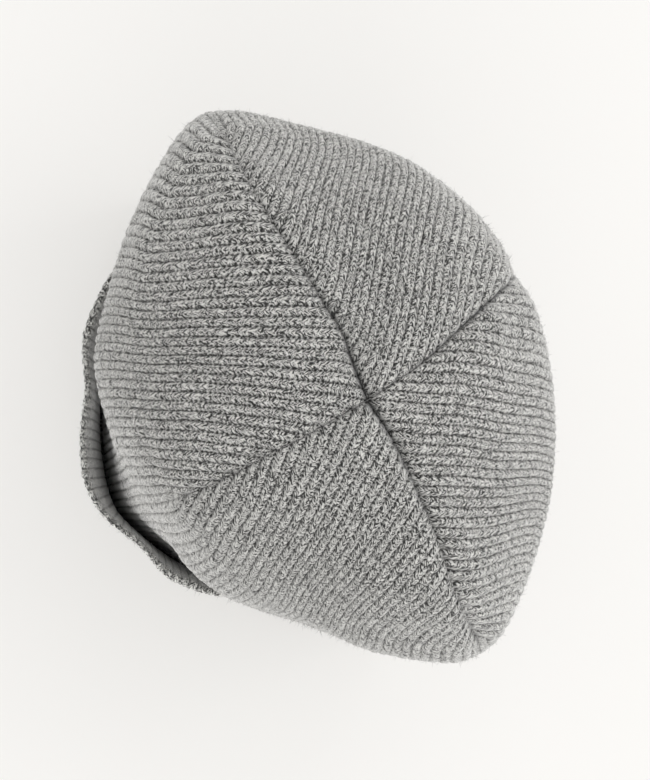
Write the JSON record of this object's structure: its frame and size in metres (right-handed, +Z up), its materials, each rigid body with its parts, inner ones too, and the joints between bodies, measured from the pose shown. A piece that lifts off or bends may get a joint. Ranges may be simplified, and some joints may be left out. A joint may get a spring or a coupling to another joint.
{
  "type": "knit cap",
  "caption": "Soft rib-knit cap with a crown of four gores meeting in a crossed seam, a hollow body open below and a turned-up cuff it stands on.",
  "frame": {"origin": "on the floor plane, under the middle of the cap's bounding box", "axes": "+Z up through the crown; the long crown seam runs along Y, with -Y taken as the front; +X to the side whose dart seam bows towards the back"},
  "size_m": [0.1562, 0.1994, 0.1568],
  "materials": {
    "rib_knit": "grey melange yarn, matt and slightly fuzzy",
    "seam_allowance": "overlocked edge of the same yarn, matt"
  },
  "bodies": {
    "root": {"knit_body": "rib_knit", "cuff": "rib_knit", "long_seam": "seam_allowance", "left_dart_seam": "seam_allowance", "right_dart_seam": "seam_allowance"}
  },
  "joints": []
}
